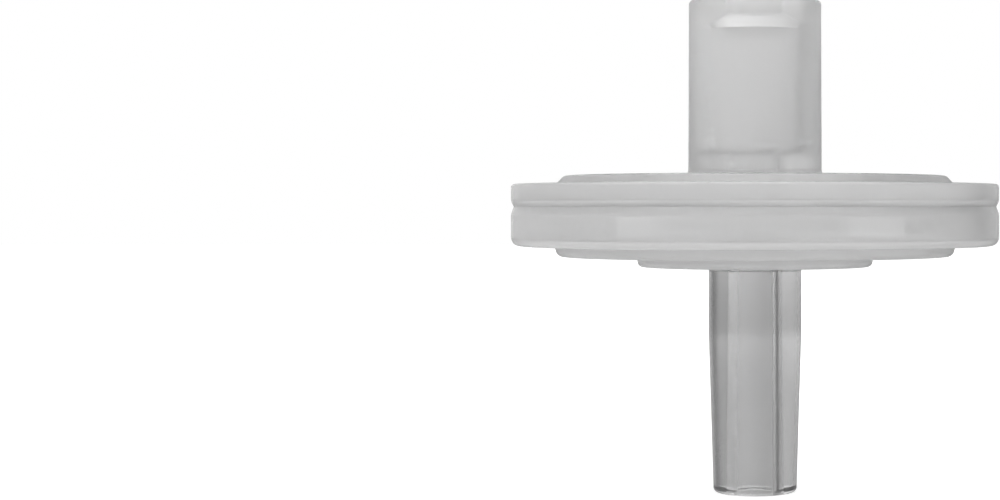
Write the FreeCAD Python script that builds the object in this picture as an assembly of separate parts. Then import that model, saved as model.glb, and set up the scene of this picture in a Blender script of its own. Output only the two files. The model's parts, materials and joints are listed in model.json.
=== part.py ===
import FreeCAD, Part
import math
import os

# Disposable syringe filter: two welded polypropylene mouldings that clamp a filter membrane.
# Units are millimetres. The filter stands on its outlet tip, with the origin at the centre of
# the tip's end and +Z up towards the inlet. The lock lugs of the hub point along +Y and -Y.

Vector = FreeCAD.Vector
AXIS_BASE = Vector(0, 0, 0)
AXIS_UP = Vector(0, 0, 1)
FULL_TURN = 360

# Heights of the outside, stacked from the outlet tip upwards
OUTLET_LENGTH = 10.65
BOSS_HEIGHT = 0.50
LOWER_STEP_HEIGHT = 0.50
LOWER_RIM_HEIGHT = 1.85
UPPER_RIM_HEIGHT = 1.05
RAISED_DISC_HEIGHT = 0.40
HUB_HEIGHT = 8.30

BOSS_Z = OUTLET_LENGTH
LOWER_STEP_Z = BOSS_Z + BOSS_HEIGHT
RIM_BOTTOM_Z = LOWER_STEP_Z + LOWER_STEP_HEIGHT
SEAM_Z = RIM_BOTTOM_Z + LOWER_RIM_HEIGHT
RIM_TOP_Z = SEAM_Z + UPPER_RIM_HEIGHT
RAISED_DISC_Z = RIM_TOP_Z + RAISED_DISC_HEIGHT
HUB_TOP_Z = RAISED_DISC_Z + HUB_HEIGHT

# Radii of the outside
RIM_RADIUS = 11.50
RAISED_TOP_RADIUS = 9.03
RAISED_BASE_RADIUS = 9.41
LOWER_STEP_TOP_RADIUS = 9.47
LOWER_STEP_BOTTOM_RADIUS = 9.34
BOSS_RADIUS = 5.57

# Broken edges of the outside, and the shallow groove that the two rims leave at the seam
RIM_TOP_BEVEL = 0.09
RIM_BOTTOM_BEVEL = 0.25
STEP_BEVEL = 0.15
RAISED_BEVEL = 0.07
GROOVE_DEPTH = 0.13
GROOVE_ABOVE = 0.26
GROOVE_BELOW = 0.36

# Luer fittings: a 6 % cone means that the diameter changes by 6 % of the length
LUER_TAPER = 0.06
CONE_SLOPE = LUER_TAPER / 2

# Male outlet: its cone ends in a parallel root
OUTLET_END_RADIUS = 1.97
OUTLET_CONE_LENGTH = 7.50
OUTLET_ROOT_RADIUS = OUTLET_END_RADIUS + CONE_SLOPE * OUTLET_CONE_LENGTH
OUTLET_ROOT_BEVEL = 0.12
OUTLET_END_BEVEL = 0.11
LUMEN_END_RADIUS = 0.92
LUMEN_TOP_RADIUS = 0.85
LUMEN_END_BEVEL = 0.06
DRAIN_BEVEL = 0.20

# Female inlet hub with its tapered socket, and the throat that leads from it to the membrane
HUB_TOP_RADIUS = 3.140
HUB_BASE_RADIUS = 3.165
HUB_BASE_BEVEL = 0.17
HUB_TOP_BEVEL = 0.13
SOCKET_MOUTH_RADIUS = 2.15
SOCKET_DEPTH = 7.30
SOCKET_FLOOR_Z = HUB_TOP_Z - SOCKET_DEPTH
SOCKET_FLOOR_RADIUS = SOCKET_MOUTH_RADIUS - CONE_SLOPE * SOCKET_DEPTH
SOCKET_MOUTH_BEVEL = 0.08
SOCKET_FLOOR_BEVEL = 0.18
THROAT_RADIUS = 1.00
THROAT_BEVEL = 0.12

# Lock lugs at the mouth of the hub. Their flanks run tangent to the hub, and their undersides
# slope down towards it, so that a lock collar's thread pulls them home.
LUG_SPAN = 7.83
LUG_END_WIDTH = 2.57
LUG_CORNER_ROUNDING = 0.36
LUG_END_HEIGHT = 1.05
LUG_ROOT_HEIGHT = 1.50
LUG_BURIED = 0.40

# Inside: the chamber, the recess that holds the membrane, and the plug ring that clamps it
CHAMBER_RADIUS = 7.62
RECESS_RADIUS = 9.00
PLUG_RADIUS = 8.90
MEMBRANE_RADIUS = 8.80
MEMBRANE_THICKNESS = 0.15
SEAT_Z = SEAM_Z - 0.65
MEMBRANE_TOP_Z = SEAT_Z + MEMBRANE_THICKNESS
CHAMBER_BEVEL = 0.10

# Ribs: rings of arc-shaped ribs, crossed by a star of straight radial channels. Those of the
# outlet carry the membrane. Those of the inlet stop short of it and spread the liquid.
RIB_HEIGHT = 0.50
INLET_RIB_GAP = 0.15
OUTLET_FLOOR_Z = SEAT_Z - RIB_HEIGHT
INLET_RIB_Z = MEMBRANE_TOP_Z + INLET_RIB_GAP
INLET_ROOF_Z = INLET_RIB_Z + RIB_HEIGHT
RIB_RINGS = 4
RIB_OUTER_RADIUS = 7.18
RIB_PITCH = 1.15
RIB_WIDTH = 0.78
RIB_END_BEVEL = 0.16
RIB_BURIED = 0.20
CHANNELS = 8
CHANNEL_WIDTH = 0.86
CHANNEL_STEP = FULL_TURN / CHANNELS


def rounded_face(corners):
    """Flat face with the given corners, each a point and the radius of its rounding (0 is sharp)."""
    arcs = []
    for i, (corner, rounding) in enumerate(corners):
        to_last = (corners[i - 1][0] - corner).normalize()
        to_next = (corners[(i + 1) % len(corners)][0] - corner).normalize()
        half_angle = to_last.getAngle(to_next) / 2
        setback = rounding / math.tan(half_angle)
        inward = (to_last + to_next).normalize()
        middle = corner + inward * (rounding / math.sin(half_angle) - rounding)
        arcs.append((corner + to_last * setback, middle, corner + to_next * setback))
    edges = []
    for i, (start, middle, end) in enumerate(arcs):
        if corners[i][1] > 0:
            edges.append(Part.Arc(start, middle, end).toShape())
        edges.append(Part.LineSegment(end, arcs[(i + 1) % len(arcs)][0]).toShape())
    return Part.Face(Part.Wire(edges))


def revolved(section):
    """Solid of revolution about Z. The corners of its section are (radius, height, bevel)."""
    corners = [Vector(radius, 0, height) for radius, height, bevel in section]
    points = []
    for i, corner in enumerate(corners):
        bevel = section[i][2]
        if bevel > 0:
            points.append(corner + (corners[i - 1] - corner).normalize() * bevel)
            points.append(corner + (corners[(i + 1) % len(corners)] - corner).normalize() * bevel)
        else:
            points.append(corner)
    outline = Part.makePolygon(points + [points[0]])
    return Part.Face(outline).revolve(AXIS_BASE, AXIS_UP, FULL_TURN)


def ring(inner_radius, outer_radius, bottom, height):
    """Flat ring about Z."""
    outer = Part.makeCylinder(outer_radius, height, Vector(0, 0, bottom))
    inner = Part.makeCylinder(inner_radius, height, Vector(0, 0, bottom))
    return outer.cut(inner)


def sector_between_channels(bottom, height):
    """Wedge that fills one sector between the channels on both sides of it."""
    half_step = math.radians(CHANNEL_STEP / 2)
    apex_distance = CHANNEL_WIDTH / 2 / math.sin(half_step)
    apex = Vector(math.cos(half_step), math.sin(half_step), 0) * apex_distance
    apex.z = bottom
    corners = [(apex, 0)]
    for angle in (0, math.radians(CHANNEL_STEP)):
        corners.append((apex + Vector(math.cos(angle), math.sin(angle), 0) * 2 * RIM_RADIUS, 0))
    return rounded_face(corners).extrude(Vector(0, 0, height))


def is_vertical(edge):
    """True for an edge that runs along Z."""
    first, last = edge.Vertexes[0].Point, edge.Vertexes[-1].Point
    across = math.hypot(last.x - first.x, last.y - first.y)
    return across < 1e-6 < abs(last.z - first.z)


def arc_ribs(bottom, height):
    """All the ribs of one half: in each ring, one arc-shaped rib with broken ends in every sector."""
    wedge = sector_between_channels(bottom, height)
    ribs = []
    for ring_number in range(RIB_RINGS):
        outer_radius = RIB_OUTER_RADIUS - ring_number * RIB_PITCH
        rib = ring(outer_radius - RIB_WIDTH, outer_radius, bottom, height).common(wedge).Solids[0]
        ends = [edge for edge in rib.Edges if is_vertical(edge)]
        rib = rib.makeChamfer(RIB_END_BEVEL, ends)
        for sector in range(CHANNELS):
            ribs.append(rib.rotated(AXIS_BASE, AXIS_UP, sector * CHANNEL_STEP))
    return ribs


def lock_lugs():
    """Both lugs in one plate round the mouth, open where the hub's own wall and socket are."""
    half_width, half_span = LUG_END_WIDTH / 2, LUG_SPAN / 2
    reach = math.hypot(half_width, half_span)
    tangent_angle = math.atan2(half_width, half_span) + math.acos(HUB_TOP_RADIUS / reach)
    side = HUB_TOP_RADIUS * math.sin(tangent_angle)
    front = HUB_TOP_RADIUS * math.cos(tangent_angle)
    bottom = HUB_TOP_Z - LUG_ROOT_HEIGHT
    corners = []
    for direction in (1, -1):
        corners += [
            (Vector(-direction * side, direction * front, bottom), 0),
            (Vector(-direction * half_width, direction * half_span, bottom), LUG_CORNER_ROUNDING),
            (Vector(direction * half_width, direction * half_span, bottom), LUG_CORNER_ROUNDING),
            (Vector(direction * side, direction * front, bottom), 0),
        ]
    plate = rounded_face(corners).extrude(Vector(0, 0, LUG_ROOT_HEIGHT))
    inner_radius = HUB_TOP_RADIUS - LUG_BURIED
    slope = (LUG_ROOT_HEIGHT - LUG_END_HEIGHT) / (half_span - HUB_TOP_RADIUS)
    outer_radius = half_span + 1
    sloped_underside = revolved([
        (inner_radius, HUB_TOP_Z, 0),
        (inner_radius, bottom - slope * LUG_BURIED, 0),
        (outer_radius, bottom + slope * (outer_radius - HUB_TOP_RADIUS), 0),
        (outer_radius, HUB_TOP_Z, 0),
    ])
    return plate.common(sloped_underside)


def bevel_hub_top(hub):
    """Breaks the outer edge of the hub's end face, lugs included."""
    end_faces = [
        face for face in hub.Faces
        if max(abs(face.BoundBox.ZMin - HUB_TOP_Z), abs(face.BoundBox.ZMax - HUB_TOP_Z)) < 1e-6
    ]
    outline = [edge for face in end_faces for edge in face.OuterWire.Edges]
    return hub.makeChamfer(HUB_TOP_BEVEL, outline)


def inlet_housing():
    """Upper half: hub with its socket, raised disc, rim and plug ring, and the ribs below its roof."""
    shell = revolved([
        (THROAT_RADIUS, INLET_ROOF_Z, THROAT_BEVEL),
        (THROAT_RADIUS, SOCKET_FLOOR_Z, 0),
        (SOCKET_FLOOR_RADIUS, SOCKET_FLOOR_Z, SOCKET_FLOOR_BEVEL),
        (SOCKET_MOUTH_RADIUS, HUB_TOP_Z, SOCKET_MOUTH_BEVEL),
        (HUB_TOP_RADIUS, HUB_TOP_Z, 0),
        (HUB_BASE_RADIUS, RAISED_DISC_Z, HUB_BASE_BEVEL),
        (RAISED_TOP_RADIUS, RAISED_DISC_Z, RAISED_BEVEL),
        (RAISED_BASE_RADIUS, RIM_TOP_Z, 0),
        (RIM_RADIUS, RIM_TOP_Z, RIM_TOP_BEVEL),
        (RIM_RADIUS, SEAM_Z + GROOVE_ABOVE, 0),
        (RIM_RADIUS - GROOVE_DEPTH, SEAM_Z, 0),
        (PLUG_RADIUS, SEAM_Z, 0),
        (PLUG_RADIUS, MEMBRANE_TOP_Z, 0),
        (CHAMBER_RADIUS, MEMBRANE_TOP_Z, 0),
        (CHAMBER_RADIUS, INLET_ROOF_Z, CHAMBER_BEVEL),
    ])
    hub = bevel_hub_top(shell.fuse(lock_lugs()).removeSplitter())
    return hub.fuse(arc_ribs(INLET_RIB_Z, RIB_HEIGHT + RIB_BURIED)).removeSplitter()


def outlet_housing():
    """Lower half: rim, steps and outlet with its lumen, and the recess and ribs for the membrane."""
    shell = revolved([
        (LUMEN_END_RADIUS, 0, LUMEN_END_BEVEL),
        (OUTLET_END_RADIUS, 0, OUTLET_END_BEVEL),
        (OUTLET_ROOT_RADIUS, OUTLET_CONE_LENGTH, 0),
        (OUTLET_ROOT_RADIUS, BOSS_Z, OUTLET_ROOT_BEVEL),
        (BOSS_RADIUS, BOSS_Z, STEP_BEVEL),
        (BOSS_RADIUS, LOWER_STEP_Z, 0),
        (LOWER_STEP_BOTTOM_RADIUS, LOWER_STEP_Z, STEP_BEVEL),
        (LOWER_STEP_TOP_RADIUS, RIM_BOTTOM_Z, 0),
        (RIM_RADIUS, RIM_BOTTOM_Z, RIM_BOTTOM_BEVEL),
        (RIM_RADIUS, SEAM_Z - GROOVE_BELOW, 0),
        (RIM_RADIUS - GROOVE_DEPTH, SEAM_Z, 0),
        (RECESS_RADIUS, SEAM_Z, 0),
        (RECESS_RADIUS, SEAT_Z, 0),
        (CHAMBER_RADIUS, SEAT_Z, 0),
        (CHAMBER_RADIUS, OUTLET_FLOOR_Z, CHAMBER_BEVEL),
        (LUMEN_TOP_RADIUS, OUTLET_FLOOR_Z, DRAIN_BEVEL),
    ])
    return shell.fuse(arc_ribs(OUTLET_FLOOR_Z - RIB_BURIED, RIB_HEIGHT + RIB_BURIED)).removeSplitter()


def membrane():
    """Round filter membrane, flat between the seat and the plug ring."""
    return Part.makeCylinder(MEMBRANE_RADIUS, MEMBRANE_THICKNESS, Vector(0, 0, SEAT_Z))


def main():
    os.makedirs("parts", exist_ok=True)
    nodes = {
        "inlet_housing": inlet_housing(),
        "outlet_housing": outlet_housing(),
        "membrane": membrane(),
    }
    for name, shape in nodes.items():
        shape.exportStep(f"parts/{name}.step")
        volume = round(shape.Volume, 2)
        print(name, "valid", shape.isValid(), "solids", len(shape.Solids), "mm3", volume)


main()
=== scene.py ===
import json
import logging
import math
from dataclasses import dataclass
from enum import Enum

import bmesh
import bpy
from bmesh.types import BMesh, BMVert
from bpy.types import ID, Material, Mesh, Node, NodeTree, Object, World
from bpy.types import NodeSocket as Socket, bpy_prop_collection as Outputs
from mathutils import Matrix, Vector


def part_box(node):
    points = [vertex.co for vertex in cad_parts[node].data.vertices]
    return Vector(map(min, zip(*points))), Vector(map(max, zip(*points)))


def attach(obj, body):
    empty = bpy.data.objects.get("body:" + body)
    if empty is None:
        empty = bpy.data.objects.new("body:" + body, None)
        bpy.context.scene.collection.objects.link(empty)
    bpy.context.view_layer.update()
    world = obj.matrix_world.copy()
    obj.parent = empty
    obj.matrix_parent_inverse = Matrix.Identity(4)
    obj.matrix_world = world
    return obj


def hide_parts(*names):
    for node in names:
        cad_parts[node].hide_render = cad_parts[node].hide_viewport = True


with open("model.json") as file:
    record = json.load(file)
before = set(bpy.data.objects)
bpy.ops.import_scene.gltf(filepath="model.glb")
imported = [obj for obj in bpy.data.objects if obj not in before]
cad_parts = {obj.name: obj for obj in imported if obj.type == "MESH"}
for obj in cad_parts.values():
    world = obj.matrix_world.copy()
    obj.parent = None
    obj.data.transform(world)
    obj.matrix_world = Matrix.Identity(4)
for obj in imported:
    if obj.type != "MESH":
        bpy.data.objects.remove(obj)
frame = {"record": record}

# Looks of a disposable syringe filter: two welded translucent mouldings round a white membrane.
# Sizes in the classes are in millimetres. Meshes and lights are in metres, like the frame.

MM = 0.001
BODY = "root"
PLASTIC_SLOT = "translucent_polypropylene"
MEMBRANE_SLOT = "membrane_white"
ROUNDING_STEPS = 6
RIB_STEPS_ALONG = 16
RIB_STEPS_ACROSS = 6
DOT_SIDES = 24
CAP_STEPS = 8
MERGE_DISTANCE = 1e-6
SHARP_ANGLE = math.radians(38)
LEVEL_FACE_RISE = 0.85
LEAST_DIVISOR = 0.01
TAPER_SLOPE = 0.03
SKIN_EDGE = 0.01
SKIN_CLEARANCE = 0.05
SKIN_INSET = 0.3
WHITE = (1.0, 1.0, 1.0, 1.0)

log = logging.getLogger("syringe_filter")

Value = Socket | float | int | str | bool | tuple
Inputs = dict[str | int, Value]
Colour = tuple[float, float, float, float]
Step = tuple[float, float, float]


class TreeWriter:
    """Writes nodes and links into one node tree, of shaders or of geometry."""

    def __init__(self, tree: NodeTree) -> None:
        """Starts on a tree, which may already hold nodes."""
        self.tree = tree

    def node(self, kind: str, inputs: Inputs | None = None, **settings: object) -> Node:
        """Adds a node.

        Args:
            kind: The node's type name.
            inputs: What each named or numbered input gets, a value or another node's output.
            settings: Properties of the node itself, such as its operation.

        Returns:
            The new node.
        """
        made = self.tree.nodes.new(kind)
        for name, setting in settings.items():
            setattr(made, name, setting)
        self.feed(made, inputs or {})
        return made

    def feed(self, node: Node, inputs: Inputs) -> None:
        """Gives a node's inputs their links and plain values.

        Args:
            node: The node.
            inputs: What each named or numbered input gets, a value or another node's output.
        """
        for key, value in inputs.items():
            if isinstance(value, Socket):
                self.tree.links.new(value, node.inputs[key])
            else:
                node.inputs[key].default_value = value

    def output(self, kind: str, inputs: Inputs | None = None, **settings: object) -> Socket:
        """Adds a node, as node() does, and returns its first output."""
        return self.node(kind, inputs, **settings).outputs[0]

    def math(self, operation: str, *values: Value) -> Socket:
        """Adds one Math node on the given values and returns its output."""
        return self.output("ShaderNodeMath", dict(enumerate(values)), operation=operation)

    def between(self, share: Value, first: Value, second: Value) -> Socket:
        """Goes from one number to another by a share from 0 to 1."""
        return self.math("MULTIPLY_ADD", share, self.math("SUBTRACT", second, first), first)

    def parts(self, vector: Socket) -> Outputs:
        """Splits a vector into its X, Y and Z."""
        return self.node("ShaderNodeSeparateXYZ", {0: vector}).outputs

    def polar(self, radius: Socket, turn: Socket, height: Socket) -> Socket:
        """Gives the place at a distance from the Z axis, an angle about it and a height."""
        x, y = (self.math("MULTIPLY", radius, self.math(wave, turn)) for wave in ("COSINE", "SINE"))
        return self.output("ShaderNodeCombineXYZ", {0: x, 1: y, 2: height})

    def spread(self, value: Value, low: float, high: float, to_low: float, to_high: float) -> Socket:
        """Maps low..high of a value to to_low..to_high with soft ends, and returns the output."""
        inputs = {"Value": value, "From Min": low, "From Max": high, "To Min": to_low, "To Max": to_high}
        return self.output("ShaderNodeMapRange", inputs, interpolation_type="SMOOTHSTEP")

    def stairs(self, value: Value, start: float, steps: tuple[Step, ...]) -> Socket:
        """Goes softly from level to level as a value grows.

        Args:
            value: What decides the level.
            start: Level before the first step.
            steps: Where each step begins and ends, and the level after it.

        Returns:
            The level.
        """
        total, before = start, start
        for low, high, after in steps:
            total = self.math("ADD", total, self.spread(value, low, high, 0.0, after - before))
            before = after
        return total

    def blend(self, amount: Value, first: Value, second: Value) -> Socket:
        """Mixes two colours by an amount from 0 to 1, and returns the colour output."""
        return self.node("ShaderNodeMix", {0: amount, 6: first, 7: second}, data_type="RGBA").outputs[2]

    def varied(self, flow: NodeTree, clouds: float, grain: float, share: float) -> Outputs:
        """Places the flow group with its scales, per metre, and returns its outputs."""
        inputs = {"Cloud Scale": clouds, "Grain Scale": grain, "Grain Share": share}
        return self.node("ShaderNodeGroup", inputs, node_tree=flow).outputs


def new_tree(name: str, kind: str, inputs: dict[str, str], outputs: dict[str, str]) -> TreeWriter:
    """Makes a node group with named sockets.

    Args:
        name: The group's name.
        kind: Geometry or Shader.
        inputs: Kind of each input socket, such as Float, by its name.
        outputs: Kind of each output socket, by its name.

    Returns:
        A writer on the new group.
    """
    tree = bpy.data.node_groups.new(name, kind + "NodeTree")
    for direction, sockets in (("INPUT", inputs), ("OUTPUT", outputs)):
        for label, socket in sockets.items():
            tree.interface.new_socket(name=label, in_out=direction, socket_type="NodeSocket" + socket)
    return TreeWriter(tree)


# Meshes


def linked(name: str, data: ID) -> Object:
    """Puts a mesh, a light or a camera in the scene as an object at the origin."""
    made = bpy.data.objects.new(name, data)
    bpy.context.scene.collection.objects.link(made)
    return made


def drawn(name: str, work: BMesh) -> Mesh:
    """Turns a bmesh into a mesh, and frees it."""
    mesh = bpy.data.meshes.new(name)
    work.to_mesh(mesh)
    work.free()
    return mesh


def thickened(name: str, work: BMesh, top: float) -> Mesh:
    """Makes a closed block of flat faces, by drawing them out to a level.

    Args:
        name: Name of the mesh.
        work: The faces, at height 0.
        top: The level.

    Returns:
        The block.
    """
    raised = bmesh.ops.extrude_face_region(work, geom=list(work.faces))
    for item in raised["geom"]:
        if isinstance(item, BMVert):
            item.co.z = top
    return drawn(name, work)


def settled(host: Object, name: str) -> Mesh:
    """Turns an object and its modifiers into a plain mesh, and removes the object.

    Args:
        host: Object that carries the modifiers.
        name: Name of the mesh.

    Returns:
        The mesh, with no modifiers left.
    """
    depsgraph = bpy.context.evaluated_depsgraph_get()
    mesh = bpy.data.meshes.new_from_object(
        host.evaluated_get(depsgraph), preserve_all_data_layers=True, depsgraph=depsgraph
    )
    mesh.name = name
    host.modifiers.clear()
    bpy.data.objects.remove(host)
    return mesh


def grown(name: str, seed_mesh: Mesh, tree: NodeTree, values: dict[str, object]) -> Mesh:
    """Runs a geometry tree on a mesh.

    Args:
        name: Name of the result.
        seed_mesh: What the tree's Geometry input gets.
        tree: The geometry tree.
        values: What each other input of the tree gets, by its name.

    Returns:
        The result as a plain mesh.
    """
    host = linked(name + "_host", seed_mesh)
    modifier = host.modifiers.new("grow", "NODES")
    modifier.node_group = tree
    for item in tree.interface.items_tree:
        if item.in_out == "INPUT" and item.name in values:
            modifier[item.identifier] = values[item.name]
    return settled(host, name)


def united(name: str, body: Mesh, addition: Mesh) -> Mesh:
    """Joins two closed meshes that overlap.

    Args:
        name: Name of the result.
        body: One mesh.
        addition: The other mesh.

    Returns:
        One closed mesh.
    """
    host = linked(name + "_host", body)
    tool = linked(name + "_tool", addition)
    modifier = host.modifiers.new("unite", "BOOLEAN")
    modifier.operation = "UNION"
    modifier.solver = "MANIFOLD"
    modifier.object = tool
    mesh = settled(host, name)
    bpy.data.objects.remove(tool)
    return mesh


def cleaned(mesh: Mesh) -> Mesh:
    """Merges doubles, drops faces with no area and turns all faces outwards.

    Args:
        mesh: The mesh, which is changed itself.

    Returns:
        The same mesh.
    """
    work = bmesh.new()
    work.from_mesh(mesh)
    bmesh.ops.remove_doubles(work, verts=work.verts, dist=MERGE_DISTANCE)
    bmesh.ops.dissolve_degenerate(work, edges=work.edges, dist=MERGE_DISTANCE / 10)
    bmesh.ops.recalc_face_normals(work, faces=work.faces)
    work.to_mesh(mesh)
    work.free()
    return mesh


def finished(name: str, mesh: Mesh, materials: list[Material]) -> Object:
    """Shades a mesh smooth between its sharp edges, keeps its flats flat and gives it its materials.

    The normals are weighted by area at millimetre scale. Areas in square metres are too small for that.

    Args:
        name: Name of the object.
        mesh: Its shape.
        materials: Its materials.

    Returns:
        The object, which has no modifiers.
    """
    mesh.transform(Matrix.Scale(1 / MM, 4))
    mesh.shade_smooth()
    mesh.set_sharp_from_angle(angle=SHARP_ANGLE)
    host = linked(name + "_host", mesh)
    modifier = host.modifiers.new("flat_flats", "WEIGHTED_NORMAL")
    modifier.mode = "FACE_AREA"
    modifier.keep_sharp = True
    shaded = settled(host, name)
    shaded.transform(Matrix.Scale(MM, 4))
    shaded.materials.clear()
    for material in materials:
        shaded.materials.append(material)
    return linked(name, shaded)


@dataclass(frozen=True)
class Corner:
    """A corner of a revolved section, in mm.

    Attributes:
        radius: Distance from the axis.
        height: Height above the outlet's end.
        reach: How far from the corner its rounding starts. A sharp corner has 0.
    """

    radius: float
    height: float
    reach: float = 0.0

    @property
    def place(self) -> Vector:
        """Place of the corner in the section's plane."""
        return Vector((self.radius, self.height))


def rounded_outline(corners: list[Corner]) -> list[Vector]:
    """Draws a section's outline, with an arc tangent to both sides at each rounded corner.

    Args:
        corners: The corners in order.

    Returns:
        The outline's points. Each rounded corner gives the same number of them at any angle.
    """
    points = []
    for index, corner in enumerate(corners):
        if corner.reach == 0:
            points.append(corner.place)
            continue
        before = corners[index - 1].place - corner.place
        after = corners[(index + 1) % len(corners)].place - corner.place
        start = corner.place + before.normalized() * corner.reach
        end = corner.place + after.normalized() * corner.reach
        weight = math.sin(before.angle(after) / 2)
        for step in range(ROUNDING_STEPS + 1):
            along = step / ROUNDING_STEPS
            shares = ((1 - along) ** 2, 2 * weight * along * (1 - along), along**2)
            total = start * shares[0] + corner.place * shares[1] + end * shares[2]
            points.append(total / sum(shares))
    return points


# Geometry trees


def started(name: str, counts: tuple[str, ...], sizes: tuple[str, ...]) -> tuple[TreeWriter, Outputs]:
    """Starts a geometry tree, which gets a Geometry and a Material and gives a Geometry.

    Args:
        name: The tree's name.
        counts: Names of its inputs that are whole numbers.
        sizes: Names of its inputs that are lengths in metres or angles in radians.

    Returns:
        A writer on the tree, and what its inputs give.
    """
    inputs = {"Geometry": "Geometry"} | dict.fromkeys(counts, "Int") | dict.fromkeys(sizes, "Float")
    writer = new_tree(name, "Geometry", inputs | {"Material": "Material"}, {"Geometry": "Geometry"})
    return writer, writer.node("NodeGroupInput").outputs


def ended(writer: TreeWriter, geometry: Socket, material: Socket) -> NodeTree:
    """Ends a geometry tree in Realize Instances and Set Material.

    Args:
        writer: Writer on the tree.
        geometry: What the tree has made.
        material: What it is made of.

    Returns:
        The tree.
    """
    real = writer.output("GeometryNodeRealizeInstances", {"Geometry": geometry})
    dressed = writer.output("GeometryNodeSetMaterial", {"Geometry": real, "Material": material})
    writer.node("NodeGroupOutput", {0: dressed})
    return writer.tree


def revolve_tree() -> NodeTree:
    """Builds the tree that revolves a section about Z, with two lock lugs where the section asks for them.

    The section's points lie in order in the XZ plane. A point with a lug_offset moves out by that much at
    the lugs' ends, and by less along their flanks, which run tangent to the hub.

    Returns:
        The tree.
    """
    sizes = ("Hub Radius", "Lug Reach", "Flank Angle", "Lug Softness")
    writer, given = started("revolve_section", ("Segments", "Closed"), sizes)
    calc = writer.math
    section = {"Geometry": given["Geometry"]}
    size = writer.node("GeometryNodeAttributeDomainSize", section, component="MESH")
    point_count = size.outputs["Point Count"]
    columns = calc("ADD", given["Segments"], 1)
    inputs = {"Vertices X": calc("ADD", point_count, given["Closed"]), "Vertices Y": columns}
    grid = writer.output("GeometryNodeMeshGrid", inputs)

    index = calc("ADD", writer.output("GeometryNodeInputIndex"), 0.5)
    row = calc("FLOOR", calc("DIVIDE", index, columns))
    column = calc("FLOOR", calc("MODULO", index, columns))
    point = calc("MODULO", row, point_count)

    def sampled(value: Socket) -> Outputs:
        """Reads a vector of the section at this vertex's own point."""
        inputs = section | {"Value": value, "Index": point}
        return writer.parts(writer.output("GeometryNodeSampleIndex", inputs, data_type="FLOAT_VECTOR"))

    place = sampled(writer.output("GeometryNodeInputPosition"))
    name = {"Name": "lug_offset"}
    offset = sampled(writer.output("GeometryNodeInputNamedAttribute", name, data_type="FLOAT_VECTOR"))

    turn = calc("MULTIPLY", calc("DIVIDE", column, given["Segments"]), math.tau)
    across, along = (calc("ABSOLUTE", calc(wave, turn)) for wave in ("COSINE", "SINE"))

    flank_cosine, flank_sine = (calc(wave, given["Flank Angle"]) for wave in ("COSINE", "SINE"))
    to_flank = calc("MULTIPLY_ADD", across, flank_sine, calc("MULTIPLY", along, flank_cosine))
    flank = calc("DIVIDE", given["Hub Radius"], to_flank)
    end = calc("DIVIDE", given["Lug Reach"], calc("MAXIMUM", along, LEAST_DIVISOR))
    outline = calc("SMOOTH_MIN", end, flank, given["Lug Softness"])
    on_lug = calc("GREATER_THAN", along, flank_cosine)
    stand_out = calc("MAXIMUM", calc("SUBTRACT", outline, given["Hub Radius"]), 0.0)
    full = calc("SUBTRACT", given["Lug Reach"], given["Hub Radius"])
    share = calc("MULTIPLY", calc("DIVIDE", stand_out, full), on_lug)

    radius = calc("MULTIPLY_ADD", offset["X"], share, place["X"])
    height = calc("MULTIPLY_ADD", offset["Z"], share, place["Z"])
    inputs = {"Geometry": grid, "Position": writer.polar(radius, turn, height)}
    inputs = {"Geometry": writer.output("GeometryNodeSetPosition", inputs), "Distance": MERGE_DISTANCE}
    return ended(writer, writer.output("GeometryNodeMergeByDistance", inputs), given["Material"])


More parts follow.
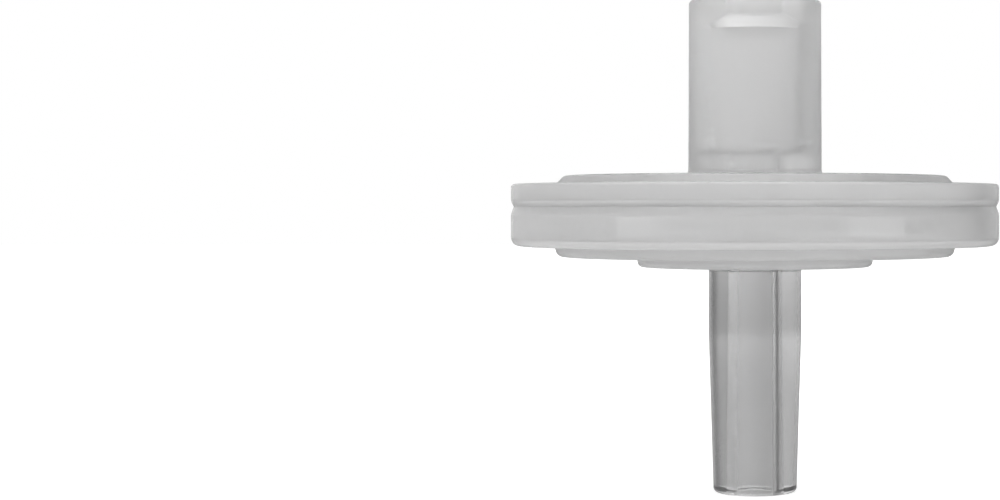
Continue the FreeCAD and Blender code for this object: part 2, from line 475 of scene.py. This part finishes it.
def rib_field_tree() -> NodeTree:
    """Builds the tree that makes rings of arc-shaped ribs, crossed by a star of straight channels.

    The ribs stand from the buried level to the free level, where their edges are rounded.

    Returns:
        The tree.
    """
    widths = ("Outer Radius", "Pitch", "Width", "Channel Width")
    others = ("Buried Level", "Free Level", "End Rounding", "Edge Rounding")
    writer, given = started("rib_field", ("Rings", "Sectors"), widths + others)
    calc = writer.math
    count = calc("MULTIPLY", given["Rings"], given["Sectors"])
    points = writer.output("GeometryNodePoints", {"Count": count})
    inputs = {"Points": points, "Instance": given["Geometry"]}
    blocks = writer.output("GeometryNodeInstanceOnPoints", inputs)
    number = {"Name": "rib_number"}
    inputs = number | {"Geometry": blocks, "Value": writer.output("GeometryNodeInputIndex")}
    numbered = writer.output("GeometryNodeStoreNamedAttribute", inputs, data_type="FLOAT", domain="INSTANCE")
    real = writer.output("GeometryNodeRealizeInstances", {"Geometry": numbered})

    read = writer.output("GeometryNodeInputNamedAttribute", number, data_type="FLOAT")
    middle = calc("ADD", read, 0.5)
    ring = calc("FLOOR", calc("DIVIDE", middle, given["Sectors"]))
    sector = calc("FLOOR", calc("MODULO", middle, given["Sectors"]))

    block = writer.parts(writer.output("GeometryNodeInputPosition"))
    along, across = (calc("SINE", calc("MULTIPLY", block[axis], math.pi / 2)) for axis in "XY")
    half_width = calc("DIVIDE", given["Width"], 2)
    inset = calc("MULTIPLY_ADD", ring, given["Pitch"], half_width)
    ring_radius = calc("SUBTRACT", given["Outer Radius"], inset)
    radius = calc("MULTIPLY_ADD", across, half_width, ring_radius)

    from_side = calc("MULTIPLY", calc("SUBTRACT", 1.0, calc("ABSOLUTE", across)), half_width)
    setback = fallen(writer, given["End Rounding"], from_side)
    half_channel = calc("DIVIDE", given["Channel Width"], 2)
    channel = calc("ARCSINE", calc("DIVIDE", half_channel, radius))
    half_sector = calc("DIVIDE", math.pi, given["Sectors"])
    open_angle = calc("SUBTRACT", half_sector, channel)
    half_angle = calc("SUBTRACT", open_angle, calc("DIVIDE", setback, radius))
    centre = calc("MULTIPLY", calc("MULTIPLY_ADD", sector, 2.0, 1.0), half_sector)
    turn = calc("MULTIPLY_ADD", along, half_angle, centre)

    half_length = calc("MULTIPLY", half_angle, radius)
    from_end = calc("MULTIPLY", calc("SUBTRACT", 1.0, calc("ABSOLUTE", along)), half_length)
    from_edge = calc("MINIMUM", from_side, from_end)
    drop = fallen(writer, given["Edge Rounding"], from_edge)
    way = calc("SIGN", calc("SUBTRACT", given["Free Level"], given["Buried Level"]))
    free = calc("SUBTRACT", given["Free Level"], calc("MULTIPLY", drop, way))
    at_free = calc("GREATER_THAN", block["Z"], 0.0)
    height = writer.between(at_free, given["Buried Level"], free)

    inputs = {"Geometry": real, "Position": writer.polar(radius, turn, height)}
    placed = {"Geometry": writer.output("GeometryNodeSetPosition", inputs)}
    return ended(writer, writer.output("GeometryNodeRemoveAttribute", placed | number), given["Material"])


def fallen(writer: TreeWriter, rounding: Socket, distance: Socket) -> Socket:
    """Works out how far a rounded edge falls back.

    Args:
        writer: Writer on the tree.
        rounding: Radius of the rounding.
        distance: Distance from the edge.

    Returns:
        The drop, which is 0 beyond the rounding.
    """
    calc = writer.math
    into = calc("MAXIMUM", calc("SUBTRACT", rounding, distance), 0.0)
    squares = calc("SUBTRACT", calc("MULTIPLY", rounding, rounding), calc("MULTIPLY", into, into))
    return calc("SUBTRACT", rounding, calc("SQRT", calc("MAXIMUM", squares, 0.0)))


def marks_tree() -> NodeTree:
    """Builds the tree that sets copies of a mark along an arc about Z, each turned to the axis.

    Returns:
        The tree.
    """
    writer, given = started("marks_on_arc", ("Count",), ("Arc Radius", "Arc Start", "Arc Step", "Height"))
    number = writer.output("GeometryNodeInputIndex")
    turn = writer.math("MULTIPLY_ADD", number, given["Arc Step"], given["Arc Start"])
    place = writer.polar(given["Arc Radius"], turn, given["Height"])
    points = writer.output("GeometryNodePoints", {"Count": given["Count"], "Position": place})
    rotation = writer.output("ShaderNodeCombineXYZ", {2: turn})
    inputs = {"Points": points, "Instance": given["Geometry"], "Rotation": rotation}
    copies = writer.output("GeometryNodeInstanceOnPoints", inputs)
    return ended(writer, copies, given["Material"])


# Shader groups and finishes


def mould_flow_group() -> NodeTree:
    """Builds the group for how a moulding varies: cloudy resin, and the fine grain of the mould's wall.

    Returns:
        The group, with a Cloud mask, a Grain mask and a Height for a bump.
    """
    writer = new_tree(
        "mould_flow",
        "Shader",
        dict.fromkeys(("Cloud Scale", "Grain Scale", "Grain Share"), "Float"),
        dict.fromkeys(("Cloud", "Grain", "Height"), "Float"),
    )
    given = writer.node("NodeGroupInput").outputs
    place = writer.node("ShaderNodeTexCoord").outputs["Object"]
    noises = []
    for name, detail, low, high in (("Cloud Scale", 3.0, 0.32, 0.68), ("Grain Scale", 2.0, 0.3, 0.7)):
        inputs = {"Vector": place, "Scale": given[name], "Detail": detail}
        noise = writer.output("ShaderNodeTexNoise", inputs)
        noises.append(writer.spread(noise, low, high, 0.0, 1.0))
    cloud, fine = noises
    height = writer.math("MULTIPLY_ADD", fine, given["Grain Share"], writer.math("MULTIPLY", cloud, 0.5))
    writer.node("NodeGroupOutput", {"Cloud": cloud, "Grain": fine, "Height": height})
    return writer.tree


def emptied(owner: Material | World) -> TreeWriter:
    """Empties the node tree of a material or a world, and returns a writer on it."""
    owner.use_nodes = True
    owner.node_tree.nodes.clear()
    return TreeWriter(owner.node_tree)


def new_material(name: str, values: Inputs) -> tuple[Material, TreeWriter, Node]:
    """Makes a material of one Principled BSDF.

    Args:
        name: Name of the material.
        values: Constant values of the shader's inputs.

    Returns:
        The material, a writer on its tree, and the shader's node.
    """
    material = bpy.data.materials.new(name)
    writer = emptied(material)
    shader = writer.node("ShaderNodeBsdfPrincipled", values)
    writer.node("ShaderNodeOutputMaterial", {"Surface": shader.outputs[0]})
    return material, writer, shader


@dataclass(frozen=True)
class Finish:
    """What every finish shares: its name, and the group that varies it."""

    name: str
    flow: NodeTree

    def varied(
        self,
        values: Inputs,
        scales: tuple[float, float, float],
        tint: tuple[str, Colour, Colour],
        rough: tuple[str, float, float],
        bump: tuple[float, float],
    ) -> Material:
        """Makes a material whose colour, roughness and height follow the group's masks.

        Args:
            values: Constant values of the shader's inputs.
            scales: Cloud scale and grain scale, per metre, and the grain's share in the height.
            tint: The mask that the colour follows, and the colours at its ends.
            rough: The mask that the roughness follows, and the roughness at its ends.
            bump: Strength of the bump, and its distance in metres.

        Returns:
            The material.
        """
        material, writer, shader = new_material(self.name, values)
        flow = writer.varied(self.flow, *scales)
        height = {"Strength": bump[0], "Distance": bump[1], "Height": flow["Height"]}
        inputs = {
            "Base Color": writer.blend(flow[tint[0]], *tint[1:]),
            "Roughness": writer.spread(flow[rough[0]], 0.0, 1.0, *rough[1:]),
            "Normal": writer.output("ShaderNodeBump", height),
        }
        writer.feed(shader, inputs)
        return material


class MouldSkin(Enum):
    """How the mould's steel was finished: the transmission, roughness and coat that it leaves."""

    POLISHED = (0.90, 0.07, 0.3)
    SATIN = (0.70, 0.36, 0.0)
    TEXTURED = (0.61, 0.36, 0.7)
    FROSTED = (0.42, 0.40, 0.7)


@dataclass(frozen=True)
class TranslucentPolypropylene(Finish):
    """Milky polypropylene: light goes through it, blurred by its skin, and some spreads inside it.

    Attributes:
        transmission: Share of the light that goes through.
        roughness: Roughness of the skin.
        coat: How much clear gloss lies over it.
        grain_spread: How much the grain adds to the roughness.
        clear_tint: Colour where the resin is clearest.
        cloudy_tint: Colour where it is cloudiest.
        scatter: How far light spreads inside, in mm.
    """

    transmission: float
    roughness: float
    coat: float
    grain_spread: float = 0.03
    clear_tint: Colour = (0.960, 0.960, 0.966, 1.0)
    cloudy_tint: Colour = (0.975, 0.973, 0.974, 1.0)
    scatter: float = 2.5

    @classmethod
    def skins(cls, flow: NodeTree) -> dict[MouldSkin, Material]:
        """Builds the material of each skin.

        Args:
            flow: The group that varies every finish.

        Returns:
            The materials, by skin.
        """
        name = "polypropylene_"
        return {skin: cls(name + skin.name.lower(), flow, *skin.value).material() for skin in MouldSkin}

    def material(self) -> Material:
        """Builds the material.

        Returns:
            The material.
        """
        values = {
            "IOR": 1.49,
            "Transmission Weight": self.transmission,
            "Subsurface Weight": 1.0,
            "Subsurface Radius": (1.0, 1.0, 1.0),
            "Subsurface Scale": self.scatter * MM,
            "Coat Weight": self.coat,
            "Coat Roughness": 0.025,
            "Coat IOR": 1.49,
        }
        tint = ("Cloud", self.clear_tint, self.cloudy_tint)
        rough = ("Grain", self.roughness, self.roughness + self.grain_spread)
        return self.varied(values, (260.0, 5200.0, 0.25), tint, rough, (0.12, 0.00002))


@dataclass(frozen=True)
class PorousMembrane(Finish):
    """Matt white filter membrane with a very fine, papery skin."""

    bright: Colour = (0.95, 0.95, 0.94, 1.0)
    dull: Colour = (0.88, 0.88, 0.87, 1.0)

    def material(self) -> Material:
        """Builds the material."""
        tint, rough = ("Grain", self.dull, self.bright), ("Cloud", 0.82, 0.95)
        return self.varied({}, (500.0, 14000.0, 1.0), tint, rough, (0.5, 0.00002))


@dataclass(frozen=True)
class PadPrintInk(Finish):
    """Black pad-printed ink, a little uneven where it went on thin."""

    full: Colour = (0.012, 0.012, 0.013, 1.0)
    thin: Colour = (0.035, 0.035, 0.037, 1.0)

    def material(self) -> Material:
        """Builds the material."""
        tint, rough = ("Cloud", self.full, self.thin), ("Grain", 0.38, 0.58)
        return self.varied({}, (2600.0, 9000.0, 0.6), tint, rough, (0.3, 0.00001))


# Pieces


@dataclass(frozen=True)
class Levels:
    """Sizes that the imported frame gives, in mm, which the pieces share."""

    rim_radius: float
    rim_bottom: float
    seat: float
    membrane_top: float
    membrane_radius: float
    seam: float
    hub_top: float
    outlet_root_radius: float

    @classmethod
    def from_frame(cls) -> "Levels":
        """Reads the nodes' boxes and the record's mounts.

        Returns:
            The sizes.
        """
        mounts = {mount["name"]: mount for mount in frame["record"]["mounts"]}
        inlet_low, inlet_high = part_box("inlet_housing")
        membrane_low, membrane_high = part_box("membrane")
        outlet_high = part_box("outlet_housing")[1]
        return cls(
            rim_radius=min(inlet_high.y, -inlet_low.x) / MM,
            rim_bottom=mounts["rim_underside"]["pos_m"][2] / MM,
            seat=membrane_low.z / MM,
            membrane_top=inlet_low.z / MM,
            membrane_radius=membrane_high.y / MM,
            seam=outlet_high.z / MM,
            hub_top=inlet_high.z / MM,
            outlet_root_radius=mounts["outlet_root"]["dims"]["r_mm"],
        )


@dataclass
class Maker:
    """What the pieces are made with: the shared sizes, the geometry trees and the finishes' materials."""

    levels: Levels
    revolve: NodeTree
    ribs: NodeTree
    marks: NodeTree
    plastics: dict[MouldSkin, Material]
    paper: Material
    ink: Material


@dataclass(frozen=True)
class LockLugs:
    """The two lugs at the hub's mouth, in mm. Their flanks run tangent to the hub."""

    hub_radius: float = 3.140
    span: float = 7.83
    end_width: float = 2.57
    end_height: float = 1.05
    root_height: float = 1.50
    softness: float = 0.28
    lower_rounding: float = 0.10

    @property
    def reach(self) -> float:
        """Distance of the lugs' ends from the axis."""
        return self.span / 2

    @property
    def flank_angle(self) -> float:
        """Angle, from the lugs' axis, at which the flanks meet the hub."""
        half_width = self.end_width / 2
        corner = math.hypot(half_width, self.reach)
        return math.atan2(half_width, self.reach) + math.acos(self.hub_radius / corner)


@dataclass(frozen=True)
class RibRings:
    """Rings of ribs on one wall of the chamber, in mm. Fields feed the tree's inputs of the same name."""

    rings: int = 4
    sectors: int = 8
    outer_radius: float = 7.18
    pitch: float = 1.15
    width: float = 0.78
    channel_width: float = 0.86
    end_rounding: float = 0.28
    edge_rounding: float = 0.12
    height: float = 0.50
    buried: float = 0.20

    def mesh(self, maker: Maker, name: str, wall: float, free: float) -> Mesh:
        """Grows the ribs.

        Args:
            maker: The shared trees and materials.
            name: Name of the mesh.
            wall: Level of the wall that they stand on.
            free: Level of their free side.

        Returns:
            The ribs, each a closed block that starts inside the wall.
        """
        work = bmesh.new()
        bmesh.ops.create_grid(work, x_segments=RIB_STEPS_ALONG, y_segments=RIB_STEPS_ACROSS, size=1.0)
        block = thickened(name + "_block", work, 1.0)
        inward = math.copysign(self.buried, wall - free)
        sizes = vars(self) | {"buried_level": wall + inward, "free_level": free}
        values = {"Material": maker.plastics[MouldSkin.POLISHED]}
        for label, size in sizes.items():
            label = label.replace("_", " ").title()
            values[label] = size if isinstance(size, int) else size * MM
        return cleaned(grown(name, block, maker.ribs, values))


@dataclass
class TurnedPart:
    """A piece whose form is a section turned about Z. Subclasses give the section."""

    maker: Maker
    name: str
    segments: int = 256
    lugs: LockLugs = LockLugs()

    def section(self, at_lug: bool) -> list[Corner]:
        """Lists the section's corners.

        Args:
            at_lug: True for the section through a lug's end, and False for the plain wall.

        Returns:
            The corners in order. Both sections have the same number of them.
        """
        raise NotImplementedError

    def turned(self, material: Material, closed: bool = True) -> Mesh:
        """Revolves the section.

        Args:
            material: Finish of the piece.
            closed: False for a section that starts and ends on the axis.

        Returns:
            The closed mesh.
        """
        plain = rounded_outline(self.section(at_lug=False))
        full = rounded_outline(self.section(at_lug=True))
        outline = bpy.data.meshes.new(self.name + "_section")
        places = [(point.x * MM, 0.0, point.y * MM) for point in plain]
        outline.from_pydata(places, [(i, i + 1) for i in range(len(places) - 1)], [])
        offsets = outline.attributes.new("lug_offset", "FLOAT_VECTOR", "POINT")
        for record, start, end in zip(offsets.data, plain, full):
            record.vector = ((end.x - start.x) * MM, 0.0, (end.y - start.y) * MM)
        values = {
            "Segments": self.segments,
            "Closed": int(closed),
            "Hub Radius": self.lugs.hub_radius * MM,
            "Lug Reach": self.lugs.reach * MM,
            "Flank Angle": self.lugs.flank_angle,
            "Lug Softness": self.lugs.softness * MM,
            "Material": material,
        }
        return cleaned(grown(self.name, outline, self.maker.revolve, values))

    def skin(self, radius: float, height: float) -> MouldSkin:
        """Picks the skin of an outward wall.

        Args:
            radius: The wall's distance from the axis, in mm.
            height: Its height, in mm.

        Returns:
            The skin.
        """
        return MouldSkin.POLISHED

    def moulded(self, ribs: Mesh) -> Object:
        """Turns the section in resin, joins its ribs on and gives each outward wall its skin.

        Args:
            ribs: The ribs' closed mesh.

        Returns:
            The finished piece.
        """
        skins = list(self.maker.plastics)
        shell = self.turned(self.maker.plastics[MouldSkin.POLISHED])
        mesh = cleaned(united(self.name, shell, ribs))
        piece = finished(self.name, mesh, list(self.maker.plastics.values()))
        for face in piece.data.polygons:
            wall = face.normal.xy.dot(face.center.xy) > 0 and face.normal.z < LEVEL_FACE_RISE
            skin = MouldSkin.POLISHED
            if wall or face.normal.z < -LEVEL_FACE_RISE:
                skin = self.skin(face.center.xy.length / MM, face.center.z / MM)
            face.material_index = skins.index(skin)
        return self.placed(piece, PLASTIC_SLOT)

    def placed(self, piece: Object, slot: str) -> Object:
        """Lets the piece ride on the body."""
        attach(piece, BODY)
        return piece


@dataclass
class InletHousing(TurnedPart):
    """Upper moulding: socket hub with two lugs, raised disc, upper rim, plug ring and roof ribs."""

    name: str = "inlet_moulding"
    upper_rim_height: float = 1.05
    raised_disc_height: float = 0.40
    raised_top_radius: float = 9.03
    raised_base_radius: float = 9.41
    groove_depth: float = 0.13
    groove_above: float = 0.26
    hub_base_radius: float = 3.165
    socket_mouth_radius: float = 2.15
    socket_depth: float = 7.30
    throat_radius: float = 1.00
    chamber_radius: float = 7.62
    plug_radius: float = 8.90
    rib_gap: float = 0.15
    weld_overlap: float = 0.01
    ribs: RibRings = RibRings()

    @property
    def roof(self) -> float:
        """Level of the chamber's roof."""
        return self.maker.levels.membrane_top + self.rib_gap + self.ribs.height

    def section(self, at_lug: bool) -> list[Corner]:
        """Corners, from the throat up the socket, over the hub, out to the rim and back inside."""
        levels, lugs = self.maker.levels, self.lugs
        rim, seam, top = levels.rim_radius, levels.seam, levels.hub_top
        rim_top = seam + self.upper_rim_height
        disc_top = rim_top + self.raised_disc_height
        socket_floor = top - self.socket_depth
        socket_floor_radius = self.socket_mouth_radius - TAPER_SLOPE * self.socket_depth
        clamp = levels.membrane_top + self.weld_overlap
        lug_radius = lugs.reach if at_lug else lugs.hub_radius
        plain_drop = (lugs.root_height + lugs.end_height) / 2
        lug_bottom = top - (lugs.end_height if at_lug else plain_drop)
        corners = (
            (self.throat_radius, self.roof, 0.18),
            (self.throat_radius, socket_floor, 0.06),
            (socket_floor_radius, socket_floor, 0.28),
            (self.socket_mouth_radius, top, 0.12),
            (lug_radius, top, 0.20),
            (lug_radius, lug_bottom, lugs.lower_rounding),
            (lugs.hub_radius, top - lugs.root_height),
            (self.hub_base_radius, disc_top, 0.28),
            (self.raised_top_radius, disc_top, 0.12),
            (self.raised_base_radius, rim_top, 0.05),
            (rim, rim_top, 0.15),
            (rim, seam + self.groove_above, 0.08),
            (rim - self.groove_depth, seam - self.weld_overlap),
            (self.plug_radius, seam - self.weld_overlap),
            (self.plug_radius, clamp, 0.06),
            (self.chamber_radius, clamp, 0.06),
            (self.chamber_radius, self.roof, 0.18),
        )
        return [Corner(*corner) for corner in corners]

    def skin(self, radius: float, height: float) -> MouldSkin:
        """Satin hub and raised disc, textured rim, frosted groove and polished inside."""
        rim_top = self.maker.levels.seam + self.upper_rim_height
        if height > rim_top + self.raised_disc_height:
            return MouldSkin.SATIN
        if radius < self.plug_radius + SKIN_CLEARANCE:
            return MouldSkin.POLISHED
        if height > rim_top + SKIN_EDGE:
            return MouldSkin.SATIN
        in_groove = height < self.maker.levels.seam + self.groove_above
        return MouldSkin.FROSTED if in_groove else MouldSkin.TEXTURED

    def build(self) -> Object:
        """Makes the piece."""
        ribs = self.ribs.mesh(self.maker, "roof_ribs", self.roof, self.roof - self.ribs.height)
        piece = self.moulded(ribs)
        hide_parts("inlet_housing")
        return piece


@dataclass
class OutletHousing(TurnedPart):
    """Lower moulding: lower rim, two steps, tapered outlet, membrane recess and floor ribs."""

    name: str = "outlet_moulding"
    boss_height: float = 0.50
    lower_step_height: float = 0.50
    lower_step_top_radius: float = 9.47
    lower_step_bottom_radius: float = 9.34
    boss_radius: float = 5.57
    groove_depth: float = 0.13
    groove_below: float = 0.36
    cone_length: float = 7.50
    lumen_end_radius: float = 0.92
    lumen_top_radius: float = 0.85
    chamber_radius: float = 7.62
    recess_radius: float = 9.00
    seat_clearance: float = 0.01
    ribs: RibRings = RibRings()

    @property
    def floor(self) -> float:
        """Level of the chamber's floor."""
        return self.maker.levels.seat - self.ribs.height

    def section(self, at_lug: bool) -> list[Corner]:
        """Corners, from the lumen's end out and up over the steps to the rim, and back inside."""
        levels = self.maker.levels
        rim, rim_bottom = levels.rim_radius, levels.rim_bottom
        seam, root = levels.seam, levels.outlet_root_radius
        step_bottom = rim_bottom - self.lower_step_height
        boss_bottom = step_bottom - self.boss_height
        end_radius = root - TAPER_SLOPE * self.cone_length
        seat = levels.seat - self.seat_clearance
        corners = (
            (self.lumen_end_radius, 0.0, 0.09),
            (end_radius, 0.0, 0.18),
            (root, self.cone_length, 0.30),
            (root, boss_bottom, 0.20),
            (self.boss_radius, boss_bottom, 0.25),
            (self.boss_radius, step_bottom, 0.06),
            (self.lower_step_bottom_radius, step_bottom, 0.25),
            (self.lower_step_top_radius, rim_bottom, 0.06),
            (rim, rim_bottom, 0.42),
            (rim, seam - self.groove_below, 0.10),
            (rim - self.groove_depth, seam),
            (self.recess_radius, seam),
            (self.recess_radius, seat, 0.06),
            (self.chamber_radius, seat, 0.06),
            (self.chamber_radius, self.floor, 0.18),
            (self.lumen_top_radius, self.floor, 0.35),
        )
        return [Corner(*corner) for corner in corners]

    def skin(self, radius: float, height: float) -> MouldSkin:
        """Frosted steps, textured rim, and polished outlet and inside."""
        rim_side = self.maker.levels.rim_bottom + SKIN_INSET
        if radius > self.recess_radius + SKIN_CLEARANCE and height > rim_side:
            return MouldSkin.TEXTURED
        on_steps = radius > self.boss_radius - SKIN_INSET and height < self.floor
        return MouldSkin.FROSTED if on_steps else MouldSkin.POLISHED

    def build(self) -> Object:
        """Makes the piece."""
        free = self.floor + self.ribs.height - self.seat_clearance
        ribs = self.ribs.mesh(self.maker, "floor_ribs", self.floor, free)
        piece = self.moulded(ribs)
        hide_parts("outlet_housing")
        return piece


@dataclass
class FilterMembrane(TurnedPart):
    """White membrane, clamped at its edge between the two mouldings."""

    name: str = "filter_membrane"
    edge_rounding: float = 0.03

    def section(self, at_lug: bool) -> list[Corner]:
        """Corners of half the membrane, from the axis out over its edge and back."""
        levels = self.maker.levels
        corners = (
            (0.0, levels.membrane_top),
            (levels.membrane_radius, levels.membrane_top, self.edge_rounding),
            (levels.membrane_radius, levels.seat, self.edge_rounding),
            (0.0, levels.seat),
        )
        return [Corner(*corner) for corner in corners]

    def build(self) -> Object:
        """Makes the piece."""
        paper = self.maker.paper
        piece = self.placed(finished(self.name, self.turned(paper, closed=False), [paper]), MEMBRANE_SLOT)
        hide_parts("membrane")
        return piece


class MarkShape(Enum):
    """Shape of one printed mark."""

    BAR = "bar"
    DOT = "dot"


@dataclass(frozen=True)
class MarkArc:
    """One row of printed marks along an arc. Lengths are in mm and angles in degrees."""

    shape: MarkShape
    count: int
    start: float
    step: float
    radius: float
    length: float
    width: float

    def outline(self) -> list[tuple[float, float]]:
        """Draws one mark: a dot, or a bar with round ends.

        Returns:
            The outline's points.
        """
        half = self.width / 2
        if self.shape is MarkShape.DOT:
            turns = [math.tau * side / DOT_SIDES for side in range(DOT_SIDES)]
            return [(half * math.cos(turn), half * math.sin(turn)) for turn in turns]
        turns = [math.pi * (step / CAP_STEPS - 0.5) for step in range(CAP_STEPS + 1)]
        end = [(self.length / 2 + half * (math.cos(turn) - 1), half * math.sin(turn)) for turn in turns]
        return end + [(-x, -y) for x, y in end]


@dataclass
class PrintedMarks:
    """Plain black bars and dots, pad printed on the raised disc. They carry no words or numbers."""

    maker: Maker
    disc_top: float
    ink_height: float = 0.012
    ink_sunk: float = 0.010
    arcs: tuple[MarkArc, ...] = (
        MarkArc(MarkShape.BAR, 26, 32.0, 4.64, 8.05, 1.30, 0.26),
        MarkArc(MarkShape.DOT, 9, 236.0, 8.5, 8.05, 0.62, 0.62),
    )

    def mark(self, arc: MarkArc) -> Mesh:
        """Makes one mark as a flat closed block, long towards the axis."""
        work = bmesh.new()
        work.faces.new([work.verts.new((x * MM, y * MM, 0)) for x, y in arc.outline()])
        return cleaned(thickened(arc.shape.value, work, (self.ink_height + self.ink_sunk) * MM))

    def build(self) -> list[Object]:
        """Makes the marks.

        Returns:
            One piece for each arc.
        """
        pieces = []
        for arc in self.arcs:
            values = {
                "Count": arc.count,
                "Arc Radius": arc.radius * MM,
                "Arc Start": math.radians(arc.start),
                "Arc Step": math.radians(arc.step),
                "Height": (self.disc_top - self.ink_sunk) * MM,
                "Material": self.maker.ink,
            }
            name = f"printed_{arc.shape.value}s"
            piece = finished(name, grown(name, self.mark(arc), self.maker.marks, values), [self.maker.ink])
            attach(piece, BODY)
            pieces.append(piece)
        return pieces


# Studio


@dataclass(frozen=True)
class SoftLamp:
    """A square soft lamp. Places and sizes are in mm."""

    name: str
    place: tuple[float, float, float]
    size: float
    watts: float


@dataclass(frozen=True)
class Studio:
    """Plain pale floor, white surroundings, soft lamps and the camera. Lengths are in mm."""

    flow: NodeTree
    target: tuple[float, float, float] = (0.0, 0.0, 12.0)
    world_light: float = 0.67
    surround_above: float = 1.80
    surround_level: float = 0.72
    surround_below: float = 0.40
    surround_under: float = 0.65
    surround_front: float = 0.55
    shaded_share: float = 0.15
    behind_share: float = 0.68
    card: float = 3.3
    card_middle_share: float = 0.35
    floor_reach: float = 600.0
    floor_glow: float = 0.56
    lamps: tuple[SoftLamp, ...] = (
        SoftLamp("key_lamp", (-260.0, -240.0, 300.0), 420.0, 1.25),
        SoftLamp("fill_lamp", (300.0, -200.0, 160.0), 420.0, 0.62),
    )
    lens: float = 70.0
    camera_distance: float = 92.3
    eye_height: float = 13.43
    shift_right: float = -0.255
    shift_up: float = -0.042

    def build(self) -> None:
        """Sets everything up."""
        bpy.context.scene.view_settings.view_transform = "Standard"
        self.floor()
        self.world()
        for lamp in self.lamps:
            self.lamp(lamp)
        self.camera()

    def floor(self) -> None:
        """Makes the pale floor, which the camera sees as white where no shadow falls."""
        work = bmesh.new()
        bmesh.ops.create_grid(work, x_segments=1, y_segments=1, size=self.floor_reach * MM)
        mesh = drawn("studio_floor", work)
        values = {"Roughness": 0.9, "Emission Color": WHITE}
        material, writer, shader = new_material("studio_floor_paper", values)
        grain = writer.varied(self.flow, 40.0, 900.0, 1.0)["Grain"]
        tint = writer.blend(grain, (0.80, 0.80, 0.80, 1.0), (0.81, 0.81, 0.81, 1.0))
        path = writer.node("ShaderNodeLightPath").outputs
        glow = writer.math("MULTIPLY", path["Is Camera Ray"], self.floor_glow)
        writer.feed(shader, {"Base Color": tint, "Emission Strength": glow})
        mesh.materials.append(material)
        floor = linked("studio_floor", mesh)
        floor.visible_glossy = False
        floor.visible_transmission = False

    def world(self) -> None:
        """Surrounds the filter with white for the camera and with soft shades for its plastic.

        The light changes with height, has a least level at the front, and has a dark side at the right and
        a dim back. Reflections also show a white card, a low band round the front.
        """
        world = bpy.data.worlds.new("studio_surround")
        bpy.context.scene.world = world
        writer = emptied(world)
        way = writer.parts(writer.node("ShaderNodeTexCoord").outputs["Generated"])
        path = writer.node("ShaderNodeLightPath").outputs
        bearing = writer.math("DEGREES", writer.math("ARCTAN2", way["Y"], way["X"]))
        steps = ((8, 35, self.shaded_share), (38, 56, self.behind_share), (72, 108, 1.0))
        shade = writer.stairs(bearing, 1.0, steps)
        steps = (
            (-0.45, -0.18, self.surround_below),
            (-0.06, -0.008, self.surround_level),
            (0.45, 0.90, self.surround_above),
        )
        level = writer.stairs(way["Z"], self.surround_under, steps)
        front = writer.spread(way["Y"], -0.7, -0.1, self.surround_front, 0.0)
        surround = writer.math("MULTIPLY", writer.math("MAXIMUM", level, front), shade)
        share = writer.math("SUBTRACT", path["Is Glossy Ray"], path["Is Transmission Ray"])
        aside = writer.math("ABSOLUTE", writer.math("ADD", bearing, 90))
        for value, low, high, to_low, to_high in (
            (aside, 35, 50, self.card_middle_share, 1.0),
            (bearing, -156, -155, 0.0, 1.0),
            (bearing, -19, -18, 1.0, 0.0),
            (way["Z"], -0.034, -0.028, 0.0, 1.0),
            (way["Z"], -0.0006, -0.0001, 1.0, 0.0),
        ):
            share = writer.math("MULTIPLY", share, writer.spread(value, low, high, to_low, to_high))
        surround = writer.between(writer.math("MAXIMUM", share, 0.0), surround, self.card)
        indirect = writer.math("MAXIMUM", path["Is Glossy Ray"], path["Is Transmission Ray"])
        strength = writer.between(indirect, self.world_light, surround)
        strength = writer.between(path["Is Camera Ray"], strength, 1.0)
        background = writer.output("ShaderNodeBackground", {"Color": WHITE, "Strength": strength})
        writer.node("ShaderNodeOutputWorld", {"Surface": background})

    def lamp(self, lamp: SoftLamp) -> None:
        """Adds one soft lamp, turned to the filter.

        Args:
            lamp: The lamp.
        """
        light = bpy.data.lights.new(lamp.name, "AREA")
        light.shape = "SQUARE"
        light.size = lamp.size * MM
        light.energy = lamp.watts
        made = linked(lamp.name, light)
        made.location = Vector(lamp.place) * MM
        aim = Vector(self.target) - Vector(lamp.place)
        made.rotation_euler = aim.to_track_quat("-Z", "Y").to_euler()
        made.visible_camera = False
        made.visible_glossy = False
        made.visible_transmission = False

    def camera(self) -> None:
        """Adds the camera, at eye level with the rim and looking straight along +Y."""
        lens = bpy.data.cameras.new("studio_camera")
        lens.lens = self.lens
        lens.shift_x = self.shift_right
        lens.shift_y = self.shift_up
        lens.clip_start = 0.001
        made = linked("studio_camera", lens)
        made.location = (0.0, -self.camera_distance * MM, self.eye_height * MM)
        made.rotation_euler = (math.pi / 2, 0.0, 0.0)
        bpy.context.scene.camera = made


def main() -> None:
    """Builds the pieces in order, and then the studio."""
    logging.basicConfig(level=logging.INFO, format="%(name)s: %(message)s")
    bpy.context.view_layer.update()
    flow = mould_flow_group()
    maker = Maker(
        levels=Levels.from_frame(),
        revolve=revolve_tree(),
        ribs=rib_field_tree(),
        marks=marks_tree(),
        plastics=TranslucentPolypropylene.skins(flow),
        paper=PorousMembrane("porous_membrane", flow).material(),
        ink=PadPrintInk("pad_print_ink", flow).material(),
    )
    inlet = InletHousing(maker)
    disc_top = maker.levels.seam + inlet.upper_rim_height + inlet.raised_disc_height
    pieces = [inlet.build(), OutletHousing(maker).build(), FilterMembrane(maker).build()]
    for piece in pieces + PrintedMarks(maker, disc_top).build():
        log.info("%s: %d faces", piece.name, len(piece.data.polygons))
    Studio(flow).build()


if __name__ == "__main__":
    main()
